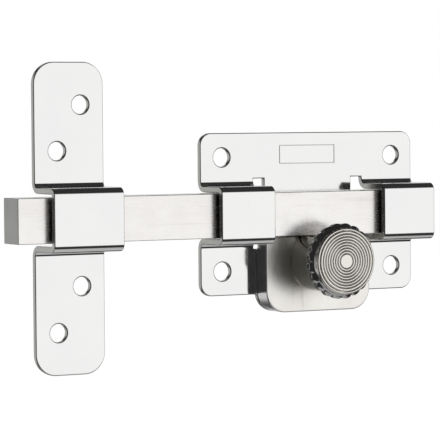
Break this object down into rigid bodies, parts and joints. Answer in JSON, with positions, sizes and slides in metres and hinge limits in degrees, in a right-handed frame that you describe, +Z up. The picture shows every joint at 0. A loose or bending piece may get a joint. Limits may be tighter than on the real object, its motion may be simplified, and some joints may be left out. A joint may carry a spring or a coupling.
{
  "type": "sliding door bolt with turn knob",
  "caption": "Rim sliding door bolt: a turn knob on a block drives a bar through two pressed bridges of its base plate into a separate strap keeper.",
  "frame": {"origin": "on the base plate's back face, at the middle of its width, on the bolt's axis", "axes": "+X along the bolt, the way it retracts; +Z up, from the knob to the bolt; the front and the knob face -Y, and +Y points into the door"},
  "size_m": [0.149, 0.0262, 0.098],
  "materials": {
    "polished_sheet": "bright nickel plated pressed sheet, polished like a mirror",
    "satin_bar": "fine brushed nickel plated bar, brushed along its length",
    "satin_case": "satin nickel plated block with a brushed front",
    "polished_sleeve": "polished nickel plated turned sleeve",
    "knob_chrome": "bright chrome plated lobed grip",
    "cap_silver": "pale turned face with fine concentric grooves",
    "plain_steel": "bright zinc plated steel fixings and shaft",
    "bearing_bronze": "sintered bronze bearing metal"
  },
  "bodies": {
    "base": {"base_plate": "polished_sheet", "lock_case": "satin_case", "case_screw_1": "plain_steel", "case_screw_2": "plain_steel", "case_screw_3": "plain_steel", "case_screw_4": "plain_steel", "stop_pin": "plain_steel", "knob_sleeve": "polished_sleeve", "sleeve_screw_1": "plain_steel", "sleeve_screw_2": "plain_steel", "rear_bush": "bearing_bronze", "front_bush": "bearing_bronze", "wave_washer": "plain_steel"},
    "bolt": {"bolt_bar": "satin_bar"},
    "knob": {"spindle": "plain_steel", "drive_pinion": "plain_steel", "spindle_circlip": "plain_steel", "thrust_washer": "bearing_bronze", "knob_head": "knob_chrome", "knob_screw": "plain_steel", "knob_cap": "cap_silver"},
    "keeper": {"keeper_strap": "polished_sheet"}
  },
  "joints": [
    {"name": "bolt_slide", "type": "slide", "parent": "base", "child": "bolt", "axis": [1, 0, 0], "range_m": [0, 0.035]},
    {"name": "knob_turn", "type": "hinge", "parent": "base", "child": "knob", "pos_m": [0, 0, -0.0151], "axis": [0, 1, 0], "range_deg": [0, 223]},
    {"name": "keeper_slide", "type": "slide", "parent": "base", "child": "keeper", "axis": [1, 0, 0], "range_m": [-0.036, 0.03]}
  ],
  "couplings": [
    {"joint": "knob_turn", "follows": "bolt_slide", "rad_per_m": 111.11}
  ]
}
